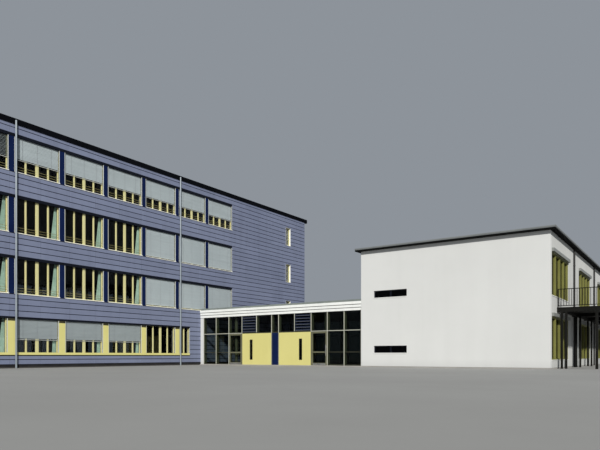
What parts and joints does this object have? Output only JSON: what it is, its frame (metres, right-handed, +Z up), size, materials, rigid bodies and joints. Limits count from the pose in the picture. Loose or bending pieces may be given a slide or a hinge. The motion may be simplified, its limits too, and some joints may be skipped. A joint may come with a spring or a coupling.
{
  "type": "school building",
  "caption": "School building with a tall clad classroom block, a low glazed foyer and a white hall with a steel gallery.",
  "frame": {"origin": "point of the ground under the middle of the foyer floor", "axes": "+Z up, +X along the foyer front from the classroom block to the hall, +Y from the front to the rear"},
  "size_m": [37.962, 37.954, 13.472],
  "materials": {
    "concrete": "smooth concrete",
    "plinth_render": "grey plinth render",
    "roof_dark": "dark roof covering and soffit",
    "edge_metal": "folded sheet",
    "inner_plaster": "plastered masonry",
    "blue_cladding": "matt coated panels",
    "navy_panel": "satin coated",
    "yellow_panel": "satin coated",
    "yellow_frame": "satin paint",
    "glass": "clear",
    "sill_metal": "folded sheet",
    "blind_rail": "satin",
    "blind_slats": "matt coated slats",
    "pipe_light": "zinc grey",
    "white_board": "satin white",
    "flashing": "weathered sheet",
    "white_render": "fine render",
    "olive_frame": "satin coated",
    "louvre_metal": "satin coated",
    "yellow_render": "smooth painted",
    "steel_bar": "brushed",
    "slate_edge": "slate grey sheet",
    "green_frame": "painted timber",
    "pipe_dark": "dark coated",
    "gallery_steel": "dark coated steel"
  },
  "bodies": {
    "building": {"block_base": "concrete", "block_plinth": "plinth_render", "block_floors": "concrete", "block_roof": "roof_dark", "block_roof_edge": "edge_metal", "block_front_wall": "inner_plaster", "block_wall_over_passage": "inner_plaster", "block_front_wall_end": "inner_plaster", "block_rear_wall": "inner_plaster", "block_left_end_wall": "inner_plaster", "block_right_end_wall": "inner_plaster", "block_cladding": "blue_cladding", "block_navy_piers": "navy_panel", "block_yellow_piers": "yellow_panel", "block_windows": "yellow_frame", "block_glass": "glass", "block_window_sills": "sill_metal", "block_blind_cassettes": "blind_rail", "block_blinds": "blind_slats", "block_pipes": "pipe_light", "foyer_floor": "concrete", "foyer_roof": "roof_dark", "foyer_fascia": "white_board", "foyer_roof_upstands": "flashing", "foyer_end_piers": "white_render", "foyer_posts": "olive_frame", "foyer_rails": "olive_frame", "foyer_glass": "glass", "foyer_louvres": "louvre_metal", "foyer_yellow_walls": "yellow_render", "foyer_navy_panel": "navy_panel", "foyer_columns": "olive_frame", "hall_base": "concrete", "hall_floor": "concrete", "hall_roof": "slate_edge", "hall_roof_edge": "edge_metal", "hall_front_wall": "white_render", "hall_rear_wall": "white_render", "hall_right_wall": "white_render", "hall_left_wall": "white_render", "hall_wall_over_passage": "white_render", "hall_left_wall_rear": "white_render", "hall_windows": "green_frame", "hall_glass": "glass", "hall_blind_boxes": "blind_rail", "hall_sills": "sill_metal", "hall_pipes": "pipe_dark", "gallery_deck": "gallery_steel", "gallery_beams": "gallery_steel", "gallery_posts": "gallery_steel", "gallery_railing": "gallery_steel"},
    "left_door": {"left_door_leaf": "olive_frame", "left_door_glass": "glass", "left_door_bar": "steel_bar"},
    "right_door": {"right_door_leaf": "olive_frame", "right_door_glass": "glass", "right_door_bar": "steel_bar"}
  },
  "joints": [
    {"name": "left_door_hinge", "type": "hinge", "parent": "building", "child": "left_door", "pos_m": [-2.794, -4.734, 0], "axis": [0, 0, 1], "range_deg": [0, 90]},
    {"name": "right_door_hinge", "type": "hinge", "parent": "building", "child": "right_door", "pos_m": [3.124, -4.734, 0], "axis": [0, 0, -1], "range_deg": [0, 90]}
  ]
}
